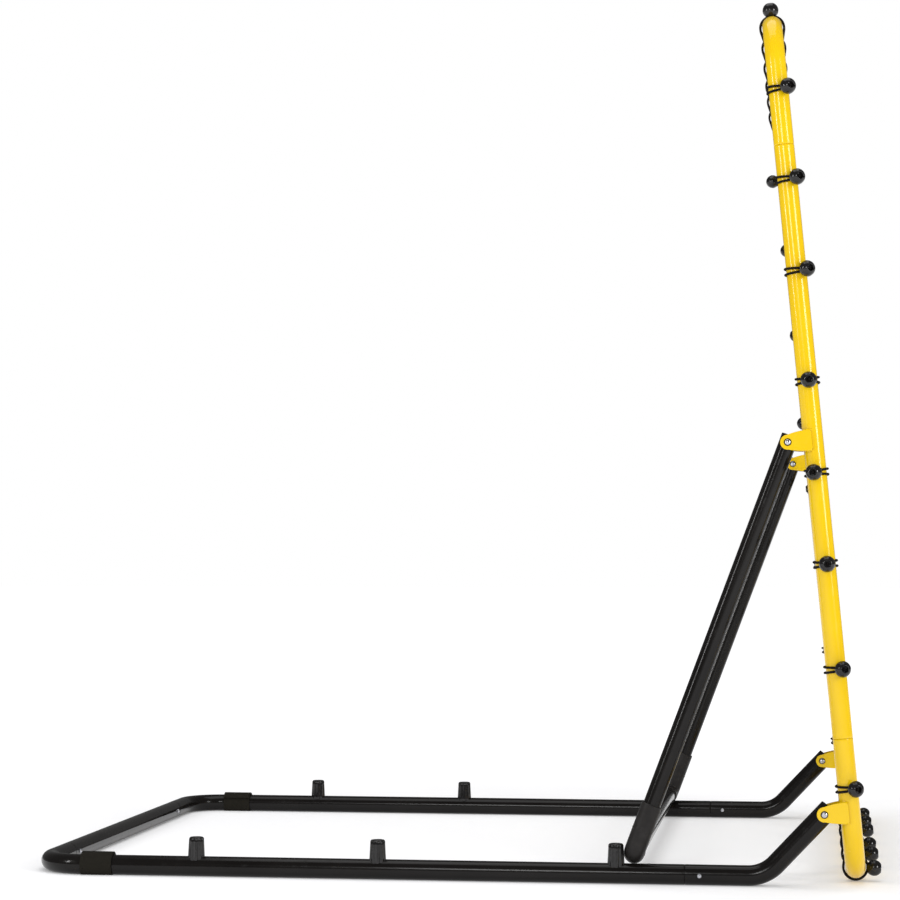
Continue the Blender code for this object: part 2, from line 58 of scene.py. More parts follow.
TUBE_WALL = 0.0015
BEND_R = 0.07
RAMP_BEND_R = 0.06
RAMP_LEAN = math.radians(46.5)
PROP_R = 0.014
END_PAST_PIVOT = 0.012

# The prop's elbows
ELBOW_R = 0.0165
ELBOW_BEND_R = 0.0185
ELBOW_UP = 0.084  # from the corner to the mouth on the leg
ELBOW_ACROSS = 0.046  # from the corner to the mouth on the crossbar
RIDGE_AT = 0.0395  # from the leg's mouth
RIDGE_HEIGHT = 0.00035

# Bolts and ears
PIVOT_HEAD_R = 0.0048
JOINT_HEAD_R = 0.0036
HEAD_HEIGHT = 0.0032
WASHER_R = 0.0059
EAR_THICK = 0.003
EAR_HALF = 0.0165
EAR_END_R = 0.0118
EAR_CORNER_R = 0.005
EAR_GAP = 0.00035  # between an ear and the tube that it holds
EAR_CHAMFER = 0.0005
EAR_TO_POST = 0.002  # from the end of an ear's plate to the post's axis
BEAD_LENGTH = 0.0135

# Stop pegs and straps
PEG_TOP_R = 0.012
PEG_BASE_R = 0.014
PEG_EDGE_R = 0.0032
PEG_FLUTES = 10
FLUTE_DEPTH = 0.1  # of the peg's radius
STRAP_THICK = 0.0021
STRAP_RIPPLE = 0.0006  # of its edges
STRAP_GAP = 0.0003
STRAP_START = math.radians(118)
STRAP_TURN = math.radians(-447)
FLAP_LIFT = 0.0034  # how far the lapped end stands off the rail's top
FLAP_SHARE = 0.2  # of the strap's length

# Ball cords
BALL_R = 0.0127
BALL_REACH = 0.02943  # from a tube's axis to the middle of a ball on it
BALL_HOLE_R = 0.0064  # the dished mouth on the far side
BALL_NECK_R = 0.0034  # the small hole on the near side
PARTING_LINE = 0.00022
CORD_R = 0.002
TIGHT_CORD = 0.0001  # how far a cord on a post stands off it
LOOSE_CORD = 0.0012  # the same on the upper and lower tubes
ANCHOR = 0.62  # of the way to the ball's middle, where its strands meet inside it
ANCHOR_R = 0.0012
KNOT_IN_BALL_R = 0.0031
STRAND_OFFSET = 0.0046  # of each strand from the middle of the two
PINCH_AT_BALL = 0.0022
PINCH_AT_HEM = 0.0023
PINCH_REACH = 0.03
LONGEST_STEP = 0.006  # between two points of a strand

# Net
HEM_R = 0.0035
HEM_BEND_R = 0.012
HEM_STEP = 0.012  # between two points along it
HEM_IN = 0.06  # from a tube's axis to the hem's
NET_PITCH = 0.025
NET_CORD_R = 0.0011
NET_SLACK = 0.0009  # how far its cords wander
KNOT_R = 0.0019
KNOT_HALF = 0.0028
SCALLOP_SPAN = 0.17
SCALLOP = 0.0028  # how far the hem bows in between two cords that are SCALLOP_SPAN apart

# How finely it is modelled
SIDES = 40  # round a tube
BEND_STEPS = 16
SEAM = 0.0007  # how far a tube's end is rounded over at a push fit
SEAM_GAP = 0.0003  # from one tube's end to the next
PLUG_DEPTH = 0.0022

# Studio
BACKDROP = 1.0  # what the camera sees
SURROUND = 0.6  # what lights the object and the floor
GLOSS_SURROUND = 0.15  # what the gloss mirrors
FLOOR_GLOW = 0.13  # within NEAR_FLOOR of the middle
FAR_FLOOR_GLOW = 0.5
NEAR_FLOOR = 0.8
FAR_FLOOR = 3.0
SIDE_BOXES = {  # azimuth in degrees, distance, height, width, tallness and watts
    "right_box": (52, 4.0, 1.6, 1.1, 1.5, 66),
    "left_box": (-60, 3.6, 1.475, 0.3, 1.05, 22),
    "camera_box": (-13, 4.8, 1.85, 1.0, 0.9, 34),
}
TOP_BOX = (4.2, 3.0, 46)  # height, width and watts
CAMERA_PLACE = (0.5802, -4.4501, 0.5240)
CAMERA_YAW = math.radians(-7.656)
CAMERA_PITCH = math.radians(2.295)
LENS = 99.944
SHIFT = -0.03

ACROSS = Vector((0, 1, 0))
LENGTHWISE = Vector((1, 0, 0))
VERTICAL = Vector((0, 0, 1))


# ---- places, measured on the frame ----


def joint_place(name):
    return Vector(next(joint["pos_m"] for joint in frame["joints"] if joint["name"] == name))


def middle(node):
    low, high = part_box(node)
    return (low + high) / 2


def span(node, direction, start):
    """The least and the greatest distance of the node's points along the direction, from start."""
    reach = [(vert.co - start).dot(direction) for vert in frame["nodes"][node].data.vertices]
    return min(reach), max(reach)


FRONT_PIVOT = joint_place("frame_fold")
PROP_PIVOT = joint_place("prop_swing")
UP = (PROP_PIVOT - FRONT_PIVOT).normalized()
FORWARD = ACROSS.cross(UP)
HALF = middle("stop_peg_rear_left").y
FRAME_LOW, LOWER_JOINT = span("lower_tube", UP, FRONT_PIVOT)
UPPER_JOINT, FRAME_TOP = span("upper_tube", UP, FRONT_PIVOT)
TOP_AXIS = FRAME_TOP - TUBE_R
LOW_AXIS = FRAME_LOW + TUBE_R
POST_AHEAD = sum(span("upper_tube", FORWARD, FRONT_PIVOT)) / 2
FOOT = Vector((middle("prop_crossbar").x, 0, middle("prop_crossbar").z))
LEG_UP = (PROP_PIVOT - FOOT).normalized()
SIDES_OF = (("right", -1), ("left", 1))


def on_frame(y, up, ahead=0.0):
    """A point of the net frame: across, along the posts, and square to the net, from the front pivot."""
    return FRONT_PIVOT + ACROSS * y + UP * up + FORWARD * ahead


# ---- materials ----


class Look:
    """A procedural material under construction: a Principled shader with helpers for its textures.
    Other sockets of the shader are given by name, with _ for each space."""

    def __init__(self, name, colour, roughness, **sockets):
        self.material = bpy.data.materials.new(name)
        self.material.use_nodes = True
        self.nodes = self.material.node_tree.nodes
        self.links = self.material.node_tree.links
        self.shader = self.nodes["Principled BSDF"]
        self.colour = colour
        self.shader.inputs["Base Color"].default_value = (*colour, 1)
        self.shader.inputs["Roughness"].default_value = roughness
        for socket, value in sockets.items():
            self.shader.inputs[socket.replace("_", " ")].default_value = value
        self.place = self.nodes.new("ShaderNodeTexCoord")

    def math(self, operation, first, second=0.0):
        node = self.nodes.new("ShaderNodeMath")
        node.operation = operation
        for socket, value in zip(node.inputs, (first, second)):
            if isinstance(value, (int, float)):
                socket.default_value = value
            else:
                self.links.new(value, socket)
        return node.outputs[0]

    def noise(self, scale, detail):
        node = self.nodes.new("ShaderNodeTexNoise")
        node.inputs["Scale"].default_value = scale
        node.inputs["Detail"].default_value = detail
        self.links.new(self.place.outputs["Object"], node.inputs["Vector"])
        return node.outputs["Fac"]

    def ranged(self, value, low, high, to_low, to_high):
        node = self.nodes.new("ShaderNodeMapRange")
        numbers = {"From Min": low, "From Max": high, "To Min": to_low, "To Max": to_high}
        for name, number in numbers.items():
            node.inputs[name].default_value = number
        self.links.new(value, node.inputs["Value"])
        return node.outputs[0]

    def roughness(self, value):
        self.links.new(value, self.shader.inputs["Roughness"])

    def tint(self, value, other):
        """Blends the colour towards another where value is 1."""
        mix = self.nodes.new("ShaderNodeMix")
        mix.data_type = "RGBA"
        mix.inputs["A"].default_value = (*self.colour, 1)
        mix.inputs["B"].default_value = (*other, 1)
        self.links.new(value, mix.inputs["Factor"])
        self.links.new(mix.outputs["Result"], self.shader.inputs["Base Color"])

    def bump(self, height, distance, strength):
        node = self.nodes.new("ShaderNodeBump")
        node.inputs["Distance"].default_value = distance
        node.inputs["Strength"].default_value = strength
        self.links.new(height, node.inputs["Height"])
        self.links.new(node.outputs[0], self.shader.inputs["Normal"])

    def along_and_around(self):
        """A swept piece's own coordinates: distance along it, and distance round it."""
        split = self.nodes.new("ShaderNodeSeparateXYZ")
        self.links.new(self.place.outputs["UV"], split.inputs[0])
        return split.outputs["Y"], split.outputs["X"]

    def braid(self, along, around, pitch):
        """Two crossing sets of strands, as in braided cord."""
        turn = 2 * math.pi / pitch
        up = self.math("MULTIPLY", self.math("ADD", along, around), turn)
        down = self.math("MULTIPLY", self.math("SUBTRACT", along, around), turn)
        crossing = self.math("MULTIPLY", self.math("SINE", up), self.math("SINE", down))
        return self.math("ABSOLUTE", crossing)


def powder_coat(name, colour, shade, roughness, coat, specular):
    """Gloss powder coat: faint orange peel, slight changes of tone and a few duller, rubbed patches."""
    coats = {"Coat_Weight": coat, "Coat_Roughness": 0.06}
    look = Look(name, colour, roughness, Specular_IOR_Level=specular, **coats)
    look.tint(look.ranged(look.noise(9.0, 4.0), 0.35, 0.75, 0.0, 1.0), shade)
    rubbed = look.ranged(look.noise(60.0, 6.0), 0.55, 0.75, roughness, roughness + 0.12)
    look.roughness(rubbed)
    look.bump(look.noise(420.0, 2.0), 0.00006, 0.5)
    return look.material


def moulded(name, colour, shade, roughness, grain, depth, specular):
    """Moulded plastic: fine grain, and slight cloudiness in the colour."""
    look = Look(name, colour, roughness, Specular_IOR_Level=specular)
    look.tint(look.ranged(look.noise(70.0, 5.0), 0.35, 0.7, 0.0, 1.0), shade)
    look.roughness(look.ranged(look.noise(260.0, 3.0), 0.3, 0.7, roughness - 0.04, roughness + 0.06))
    look.bump(look.noise(grain, 4.0), depth, 0.6)
    return look.material


def braided(name, colour, shade, pitch):
    """Braided cord, with its strands along and across its own length. Its colour is lighter on the strands'
    crowns and darker in the grooves between them, following the bump: painted highlight and painted shade.
    """
    look = Look(name, colour, 0.75, Specular_IOR_Level=0.1)
    along, around = look.along_and_around()
    strands = look.braid(along, around, pitch)
    # Painted highlight on the strands' crowns and painted shade in the grooves between them, with the second
    # colour on the crowns.
    look.tint(look.ranged(strands, 0.1, 0.8, 0.0, 1.0), shade)
    look.bump(strands, 0.0004, 0.8)
    return look.material


def webbing_look():
    """Flat woven strap: ribs, each broken up by the warp. Its colour is lighter on their crowns and darker in
    the hollows between them, following the bump: painted highlight and painted shade.
    """
    rib_pitch, warp_pitch = 0.0018, 0.0013
    look = Look("webbing", (0.0125, 0.0112, 0.0086), 0.85, Specular_IOR_Level=0.08)
    along, around = look.along_and_around()
    rib = look.math("SINE", look.math("MULTIPLY", around, 2 * math.pi / rib_pitch))
    warp = look.math("SINE", look.math("MULTIPLY", along, 2 * math.pi / warp_pitch))
    weave = look.math("ABSOLUTE", look.math("MULTIPLY", rib, warp))
    # Painted highlight on the ribs' crowns and painted shade in the hollows between them.
    look.tint(look.ranged(weave, 0.1, 0.9, 0.0, 1.0), (0.028, 0.0255, 0.0195))
    look.bump(weave, 0.0004, 0.9)
    return look.material


def zinc_look():
    """Bright zinc plate: a brushed, slightly cloudy metal."""
    look = Look("zinc_plate", (0.66, 0.66, 0.69), 0.25, Metallic=1.0)
    look.tint(look.ranged(look.noise(400.0, 4.0), 0.3, 0.7, 0.0, 1.0), (0.46, 0.47, 0.52))
    look.roughness(look.ranged(look.noise(900.0, 3.0), 0.3, 0.7, 0.18, 0.36))
    look.bump(look.noise(1200.0, 2.0), 0.00005, 0.4)
    return look.material


YELLOW = powder_coat("yellow_paint", (0.8, 0.53, 0.002), (0.76, 0.485, 0.002), 0.18, 0.18, 0.32)
BLACK = powder_coat("black_paint", (0.005, 0.0042, 0.0038), (0.009, 0.0078, 0.0072), 0.16, 0.0, 0.22)
DARK = (0.006, 0.0055, 0.0055)
LESS_DARK = (0.01, 0.009, 0.009)
GLOSS_PLASTIC = moulded("gloss_plastic", DARK, LESS_DARK, 0.12, 300.0, 0.00002, 0.45)
PLUG_PLASTIC = moulded("plug_plastic", DARK, LESS_DARK, 0.5, 900.0, 0.0001, 0.1)
SATIN = (0.014, 0.0125, 0.012)
PALER_SATIN = (0.022, 0.02, 0.019)
ELBOW_PLASTIC = moulded("elbow_plastic", SATIN, PALER_SATIN, 0.42, 900.0, 0.0001, 0.2)
# The second colour of each cord is painted highlight on its strands' crowns, with painted shade between them.
BUNGEE = braided("bungee_cord", (0.007, 0.0055, 0.005), (0.016, 0.013, 0.012), 0.0024)
HEM_ROPE = braided("hem_rope", (0.008, 0.0075, 0.0075), (0.02, 0.0185, 0.018), 0.005)
NET_CORD = braided("net_cord", (0.008, 0.0075, 0.0075), (0.018, 0.017, 0.0165), 0.0022)
WEBBING = webbing_look()
ZINC = zinc_look()


# ---- mesh helpers ----


def add_piece(name, work, material, body, replaces=(), smooth_angle=40):
    """Finishes a bmesh as a piece that rides on its body."""
    bmesh.ops.recalc_face_normals(work, faces=work.faces)
    mesh = bpy.data.meshes.new(name)
    work.to_mesh(mesh)
    work.free()
    mesh.materials.append(material)
    mesh.shade_smooth()
    mesh.set_sharp_from_angle(angle=math.radians(smooth_angle))
    piece = bpy.data.objects.new(name, mesh)
    bpy.context.scene.collection.objects.link(piece)
    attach(piece, body)
    if replaces:
        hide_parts(*replaces)
    return piece


def bent_path(corners, bend_r, steps=BEND_STEPS):
    """The line through the corners, with each inner corner rounded to bend_r."""
    path = [corners[0]]
    for before, corner, after in zip(corners, corners[1:], corners[2:]):
        back = (before - corner).normalized()
        ahead = (after - corner).normalized()
        half_angle = back.angle(ahead) / 2
        centre = corner + (back + ahead).normalized() * bend_r / math.sin(half_angle)
        spoke = corner + back * bend_r / math.tan(half_angle) - centre
        turn_axis = back.cross(ahead)
        for i in range(steps + 1):
            turn = Matrix.Rotation(-(math.pi - 2 * half_angle) * i / steps, 3, turn_axis)
            path.append(centre + turn @ spoke)
    path.append(corners[-1])
    return path


def headings(path, closed):
    """The path's direction at each point. Where a rim makes it stay or step back, it keeps its heading."""
    count = len(path)
    past_rim = min(5, count - 1)
    heading = (path[past_rim] - path[0]).normalized()
    found = []
    for i, point in enumerate(path):
        before = path[i - 1] if closed or i else point
        after = path[(i + 1) % count] if closed or i < count - 1 else point
        step = after - before
        if step.length > 1e-7 and step.dot(heading) > 0:
            heading = step.normalized()
        found.append(heading)
    return found


def sweep(work, path, radii, sides=SIDES, closed=False):
    """Adds a round section swept along the path, capped unless closed. UV is round and along, in metres.
    radii is one radius for each point, or one for all."""
    count = len(path)
    if not isinstance(radii, list):
        radii = [radii] * count
    uv = work.loops.layers.uv.verify()
    tangents = headings(path, closed)
    normal = tangents[0].orthogonal().normalized()
    rings = []
    for point, tangent, radius in zip(path, tangents, radii):
        normal = (normal - tangent * normal.dot(tangent)).normalized()
        side = tangent.cross(normal)
        ring = []
        for j in range(sides):
            angle = 2 * math.pi * j / sides
            spoke = normal * math.cos(angle) + side * math.sin(angle)
            ring.append(work.verts.new(point + spoke * radius))
        rings.append(ring)
    offset = 0
    if closed:  # the turn by which the last ring has to be shifted to meet the first
        last = rings[-1][0].co - path[-1]
        angles = [last.angle(vert.co - path[0]) for vert in rings[0]]
        offset = angles.index(min(angles))
    along = 0.0
    around = 2 * math.pi * max(radii)
    for i in range(count if closed else count - 1):
        following = (i + 1) % count
        shift = offset if closed and following == 0 else 0
        step = (path[following] - path[i]).length
        one, other = rings[i], rings[following]
        for j in range(sides):
            k = (j + 1) % sides
            face = work.faces.new((one[j], one[k], other[(k + shift) % sides], other[(j + shift) % sides]))
            corners = ((j, along), (j + 1, along), (j + 1, along + step), (j, along + step))
            for loop, (turn, length) in zip(face.loops, corners):
                loop[uv].uv = (around * turn / sides, length)
        along += step
    if not closed:
        work.faces.new(rings[0][::-1])
        work.faces.new(rings[-1])


def rounded_ends(path, radius, open_end=False):
    """The path and radii of a tube with rounded ends, or with its last end open and plugged."""

    def end(point, inward, is_open):
        rim = [(point, radius - SEAM), (point + inward * SEAM * 0.4, radius - SEAM * 0.35)]
        rim += [(point + inward * SEAM * 1.2, radius), (point + inward * SEAM * 4, radius)]
        if is_open:
            inner = radius - TUBE_WALL
            rim = [(point + inward * PLUG_DEPTH, inner - 0.0002), (point, inner), *rim[1:]]
        return rim

    start = end(path[0], (path[1] - path[0]).normalized(), False)
    finish = end(path[-1], (path[-2] - path[-1]).normalized(), open_end)[::-1]
    points = [point for point, _ in start] + path[1:-1] + [point for point, _ in finish]
    radii = [size for _, size in start] + [radius] * (len(path) - 2) + [size for _, size in finish]
    return points, radii


def add_black_tube(name, path, radius, body, stands_for, open_end=False):
    """A painted tube along the path, which stands for one CAD node."""
    work = bmesh.new()
    points, radii = rounded_ends(path, radius, open_end)
    sweep(work, points, radii)
    add_piece(name, work, BLACK, body, [stands_for])


def lathe(work, profile, place, axis, steps=32, wave=None):
    """Adds a turned shape: (radius, height) pairs from one end to the other, along the axis from place.
    wave gives a factor for the radius from the angle and the height."""
    axis = axis.normalized()
    first = axis.orthogonal().normalized()
    second = axis.cross(first)
    rings = []
    for radius, height in profile:
        centre = place + axis * height
        if radius <= 0:
            rings.append([work.verts.new(centre)])
            continue
        ring = []
        for j in range(steps):
            angle = 2 * math.pi * j / steps
            spoke = first * math.cos(angle) + second * math.sin(angle)
            reach = radius * (wave(angle, height) if wave else 1.0)
            ring.append(work.verts.new(centre + spoke * reach))
        rings.append(ring)
    for one, other in zip(rings, rings[1:]):
        for j in range(steps):
            k = (j + 1) % steps
            if len(one) == 1:
                work.faces.new((one[0], other[k], other[j]))
            elif len(other) == 1:
                work.faces.new((one[j], one[k], other[0]))
            else:
                work.faces.new((one[j], one[k], other[k], other[j]))


def arc(radius, start, end, steps, height=0.0):
    """(radius, height) pairs on a circle about a point of the axis, from one angle to another, in degrees.
    0 degrees is square to the axis, and 90 is along it."""
    angles = [math.radians(start + (end - start) * i / steps) for i in range(steps + 1)]
    return [(max(radius * math.cos(a), 0.0), height + radius * math.sin(a)) for a in angles]


# ---- base ----


def build_base():
    rear_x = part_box("rear_crossbar")[0].x + TUBE_R
    bar_low, bar_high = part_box("rear_crossbar")
    ends = [Vector((rear_x, bar_low.y, TUBE_R)), Vector((rear_x, bar_high.y, TUBE_R))]
    add_black_tube("rear_crossbar_paint", ends, TUBE_R, "base", "rear_crossbar")
    for side, sign in SIDES_OF:
        y = sign * HALF
        joint_y = (bar_high.y if sign > 0 else bar_low.y) + sign * SEAM_GAP
        front_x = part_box(f"rail_front_{side}")[0].x
        corner = Vector((rear_x, y, TUBE_R))
        front = Vector((front_x - SEAM_GAP, y, TUBE_R))
        path = bent_path([Vector((rear_x, joint_y, TUBE_R)), corner, front], BEND_R)
        add_black_tube(f"rail_paint_{side}", path, TUBE_R, "base", f"rail_{side}")
        build_rail_front(side, y, front_x)
        build_strap(side, y)
        for place in ("rear", "middle", "front"):
            build_peg(f"stop_peg_{place}_{side}")
        for place, axis in (("rear", LENGTHWISE), ("front", ACROSS)):
            node = f"{place}_joint_bolt_{side}"
            build_bolt(node, middle(node), axis, TUBE_R, JOINT_HEAD_R, "base")


def build_rail_front(side, y, start_x):
    """Up the ramp to the front pivot, past which it ends square, with a plug in it."""
    pivot = Vector((FRONT_PIVOT.x, y, FRONT_PIVOT.z))
    rise = Vector((math.cos(RAMP_LEAN), 0, math.sin(RAMP_LEAN)))
    foot = pivot - rise * (pivot.z - TUBE_R) / rise.z
    end = pivot + rise * END_PAST_PIVOT
    path = bent_path([Vector((start_x, y, TUBE_R)), foot, end], RAMP_BEND_R)
    add_black_tube(f"rail_front_paint_{side}", path, TUBE_R, "base", f"rail_front_{side}", open_end=True)


def build_peg(node):
    """A fluted, tapered stop with a rounded, slightly dished top, standing astride the rail."""
    low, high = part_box(node)
    centre = Vector(((low.x + high.x) / 2, (low.y + high.y) / 2, 0))
    foot, top = low.z, high.z
    taper = (PEG_BASE_R - PEG_TOP_R) / (top - foot)

    def wall(z):
        return PEG_TOP_R + (top - z) * taper

    def flutes(angle, height):
        depth = FLUTE_DEPTH if height < top - 0.0015 else FLUTE_DEPTH / 2
        return 1.0 - depth * (0.5 + 0.5 * math.cos(PEG_FLUTES * angle)) ** 2

    profile = [(wall(foot) - 0.0006, foot)]
    steps = 8
    for i in range(steps + 1):
        z = foot + 0.001 + (top - PEG_EDGE_R - foot - 0.001) * i / steps
        profile.append((wall(z), z))
    edge = arc(PEG_EDGE_R, 12, 80, 6, top - PEG_EDGE_R)
    profile += [(PEG_TOP_R - PEG_EDGE_R + reach, z) for reach, z in edge]
    profile += [(PEG_TOP_R * 0.62, top - 0.0001), (PEG_TOP_R * 0.55, top - 0.0009), (0, top - 0.0011)]
    work = bmesh.new()
    lathe(work, profile, centre, VERTICAL, 144, flutes)
    add_piece(f"{node}_fluted", work, GLOSS_PLASTIC, "base", [node])


def build_strap(side, y):
    """Webbing round the rail, pressed flat on the floor, with its end lapped over the top as a flap."""
    node = f"strap_{side}"
    low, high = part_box(node)
    inner = TUBE_R + STRAP_GAP
    inward = 1 if y < 0 else -1
    steps = 84
    work = bmesh.new()
    uv = work.loops.layers.uv.verify()
    rows = []
    for i in range(steps + 1):
        share = i / steps
        angle = STRAP_START + STRAP_TURN * share
        lap = max(0.0, (share - (1 - FLAP_SHARE)) / FLAP_SHARE)
        radius = inner + FLAP_LIFT * math.sin(min(lap * 1.4, 1.0) * math.pi / 2)
        ripple = STRAP_RIPPLE * math.sin(9 * share + 2)
        row = []
        for reach, least_z in ((radius, 0.0002), (radius + STRAP_THICK, 0.00005)):
            across = math.cos(angle) * reach * inward
            z = max(TUBE_R + math.sin(angle) * reach, least_z)
            for x in (low.x + ripple, high.x + ripple * 0.6):
                row.append(work.verts.new(Vector((x, y + across, z))))
        rows.append(row)
    length = abs(STRAP_TURN) * inner
    width = high.x - low.x
    for i, (one, other) in enumerate(zip(rows, rows[1:])):
        for a, b in ((0, 1), (1, 3), (3, 2), (2, 0)):
            face = work.faces.new((one[a], one[b], other[b], other[a]))
            marks = ((0, i), (1, i), (1, i + 1), (0, i + 1))
            for loop, (side_of, row_of) in zip(face.loops, marks):
                loop[uv].uv = (width * side_of, length * row_of / steps)
    work.faces.new((rows[0][0], rows[0][2], rows[0][3], rows[0][1]))
    work.faces.new((rows[-1][0], rows[-1][1], rows[-1][3], rows[-1][2]))
    piece = add_piece(f"{node}_webbing", work, WEBBING, "base", [node], 60)
    edge = piece.modifiers.new("edge", "BEVEL")
    edge.width = 0.0006
    edge.segments = 2
    edge.limit_method = "ANGLE"
    edge.angle_limit = math.radians(50)


def build_bolt(node, place, axis, reach, head_r, body):
    """A domed head and a domed nut on the two ends of a bolt."""
    dome = [(head_r, 0.0003), (head_r, HEAD_HEIGHT * 0.25)]
    for angle in (0.35, 0.7, 1.05, 1.35):
        dome.append((head_r * math.cos(angle), HEAD_HEIGHT * (0.25 + 0.72 * math.sin(angle))))
    dome.append((0, HEAD_HEIGHT))
    work = bmesh.new()
    for way in (-1, 1):
        lathe(work, dome, place + axis * way * reach, axis * way, 28)
    add_piece(f"{node}_heads", work, ZINC, body, [node], 50)


def build_washers(node, place, reach):
    """A dark washer under each end of a pivot bolt."""
    bore = PIVOT_HEAD_R * 0.6
    section = [(bore, 0.0001), (WASHER_R - 0.0002, 0.0001), (WASHER_R, 0.0003)]
    section += [(WASHER_R, 0.0007), (WASHER_R - 0.0003, 0.0009), (bore, 0.0009)]
    work = bmesh.new()
    for way in (-1, 1):
        lathe(work, section, place + ACROSS * way * reach, ACROSS * way, 32)
    add_piece(f"{node}_washers", work, PLUG_PLASTIC, "net_frame")


# ---- net frame ----


def ear_edge():
    """An ear's edge from its pivot, in frame axes: bulging sides from a round end to rounded corners."""
    corner_x = POST_AHEAD - EAR_TO_POST - EAR_CORNER_R
    corner_up = EAR_HALF - EAR_CORNER_R
    points = []
    for i in range(9):
        angle = math.radians(90 * i / 8)
        points.append((corner_x + EAR_CORNER_R * math.cos(angle), corner_up + EAR_CORNER_R * math.sin(angle)))
    bulge = math.acos(EAR_END_R / EAR_HALF)
    for i in range(1, 13):
        points.append((corner_x * (1 - i / 12), EAR_HALF * math.cos(bulge * i / 12)))
    turn = [math.radians(90 + 180 * i / 24) for i in range(1, 24)]
    round_end = [(EAR_END_R * math.cos(angle), EAR_END_R * math.sin(angle)) for angle in turn]
    return points + round_end + [(x, -up) for x, up in reversed(points)]


def add_ears(work, y, up):
    """Two plates, one on each side of what turns between them, with two weld beads on each."""
    outline = ear_edge()
    for edge in (-1, 1):
        inner = y + edge * (TUBE_R + EAR_GAP)
        outer = inner + edge * EAR_THICK
        loops = []
        for plane, inset in ((inner, 0.0), (outer - edge * EAR_CHAMFER, 0.0), (outer, EAR_CHAMFER)):
            row = []
            for x, height in outline:
                scale = 1 - inset / max(math.hypot(x, height), 0.005)
                row.append(work.verts.new(on_frame(plane, up + height * scale, x * scale)))
            loops.append(row)
        for one, other in zip(loops, loops[1:]):
            for j in range(len(outline)):
                k = (j + 1) % len(outline)
                work.faces.new((one[j], one[k], other[k], other[j]))
        work.faces.new(loops[0])
        work.faces.new(loops[-1][::-1])
        for way in (-1, 1):
            height = up + way * EAR_HALF * 0.97
            bead, sizes = [], []
            for i in range(11):
                ahead = POST_AHEAD - 0.001 - BEAD_LENGTH * i / 10
                bead.append(on_frame(inner + edge * 0.0004, height, ahead))
                sizes.append(0.0004 + 0.0014 * math.sin(math.pi * i / 10) + 0.0002 * (i % 2))
            sweep(work, bead, sizes, 8)


def build_u_tube(node, axis, joint, eared):
    """A U-shaped end of the frame, from one push fit across to the other."""
    corners = [on_frame(-HALF, joint, POST_AHEAD), on_frame(-HALF, axis, POST_AHEAD)]
    corners += [on_frame(HALF, axis, POST_AHEAD), on_frame(HALF, joint, POST_AHEAD)]
    work = bmesh.new()
    points, radii = rounded_ends(bent_path(corners, BEND_R), TUBE_R)
    sweep(work, points, radii)
    if eared:
        for _, sign in SIDES_OF:
            add_ears(work, sign * HALF, 0.0)
    add_piece(f"{node}_paint", work, YELLOW, "net_frame", [node])


def build_frame():
    prop_up = (PROP_PIVOT - FRONT_PIVOT).dot(UP)
    build_u_tube("upper_tube", TOP_AXIS, UPPER_JOINT, False)
    build_u_tube("lower_tube", LOW_AXIS, LOWER_JOINT, True)
    for side, sign in SIDES_OF:
        y = sign * HALF
        low_end = on_frame(y, LOWER_JOINT + SEAM_GAP, POST_AHEAD)
        high_end = on_frame(y, UPPER_JOINT - SEAM_GAP, POST_AHEAD)
        work = bmesh.new()
        points, radii = rounded_ends([low_end, high_end], TUBE_R)
        sweep(work, points, radii)
        add_ears(work, y, prop_up)
        add_piece(f"post_paint_{side}", work, YELLOW, "net_frame", [f"post_{side}"])
        reach = TUBE_R + EAR_GAP + EAR_THICK
        for place, up in (("front", 0.0), ("prop", prop_up)):
            node = f"{place}_pivot_bolt_{side}"
            build_bolt(node, on_frame(y, up), ACROSS, reach, PIVOT_HEAD_R, "net_frame")
            build_washers(node, on_frame(y, up), reach)


# ---- ball cords ----


def hull(points):
    """The convex outline of the points, in order."""
    points = sorted(points)

    def one_side(run):
        kept = []
        for x, y in run:
            while len(kept) > 1 and (
                (kept[-1][0] - kept[-2][0]) * (y - kept[-2][1])
                <= (kept[-1][1] - kept[-2][1]) * (x - kept[-2][0])
            ):
                kept.pop()
            kept.append((x, y))
        return kept[:-1]

    return one_side(points) + one_side(points[::-1])


def circle(x, y, radius, count):
    angles = (2 * math.pi * i / count for i in range(count))
    return [(x + radius * math.cos(a), y + radius * math.sin(a)) for a in angles]


def subdivided(loop):
    """The closed loop with points added on its long straight stretches."""
    made = []
    for (ax, ay), (bx, by) in zip(loop, loop[1:] + loop[:1]):
        pieces = max(1, math.ceil(math.hypot(bx - ax, by - ay) / LONGEST_STEP))
        made += [(ax + (bx - ax) * i / pieces, ay + (by - ay) * i / pieces) for i in range(pieces)]
    return made


def cord_facts(node):
    """The tube's point that a ball cord goes round, the way out from the net, the way along the tube, and
    the way from the tube to the ball."""
    if "_right_" in node or "_left_" in node:
        outward = ACROSS * (1 if "_left_" in node else -1)
        up = sum(span(node, UP, FRONT_PIVOT)) / 2
        place = on_frame(outward.y * HALF, up, POST_AHEAD)
        along = UP
    else:
        outward = UP * (1 if "_upper_" in node else -1)
        place = on_frame(middle(node).y, TOP_AXIS if "_upper_" in node else LOW_AXIS, POST_AHEAD)
        along = ACROSS
    way = Vector((0, 0, 0))
    for vert in frame["nodes"][node].data.vertices:
        reach = vert.co - place
        reach -= along * reach.dot(along)
        if reach.length > 0.03 and reach.dot(outward) > -0.01:  # on the ball's far half
            way += reach.normalized()
    return place, outward, along, way.normalized()


